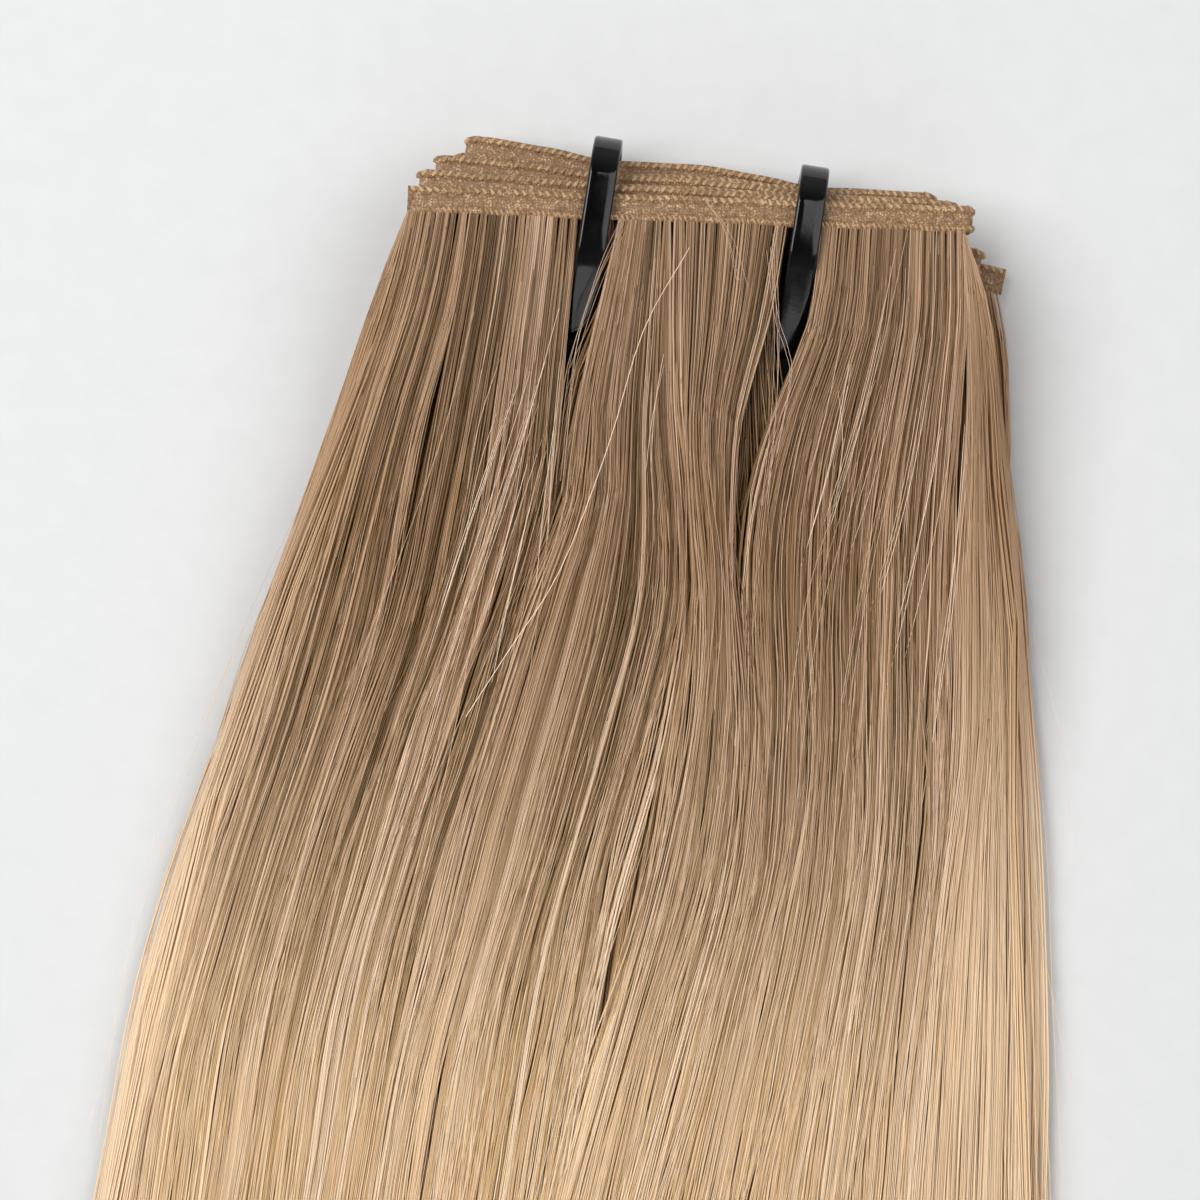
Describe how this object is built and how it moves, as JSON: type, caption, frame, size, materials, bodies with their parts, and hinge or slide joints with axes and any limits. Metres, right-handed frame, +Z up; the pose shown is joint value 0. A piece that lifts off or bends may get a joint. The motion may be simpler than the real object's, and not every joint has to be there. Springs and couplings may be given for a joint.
{
  "type": "folded weft hair extension with cable ties",
  "caption": "Long straight hair on a thin stitched weft, folded to and fro into a flat stack and held by cable ties, fading from ash brown at the band to blonde at the tips.",
  "frame": {"origin": "on the surface that it lies on, under the middle of its box", "axes": "+X along the folded band, +Y from the hair tips to the band, +Z up from the surface"},
  "size_m": [0.1246, 0.411, 0.0155],
  "materials": {
    "hair": "straight combed hair, ash brown at the roots fading to golden blonde",
    "band": "machine-stitched thread, tan",
    "tie": "moulded black nylon, smooth"
  },
  "bodies": {
    "root": {"weft_band": "band", "hair_curtain_1": "hair", "hair_curtain_2": "hair", "hair_curtain_3": "hair", "hair_curtain_4": "hair", "hair_curtain_5": "hair", "hair_curtain_6": "hair", "hair_curtain_7": "hair", "hair_curtain_8": "hair", "hair_curtain_9": "hair", "tie_left": "tie", "tie_right": "tie"}
  },
  "joints": []
}
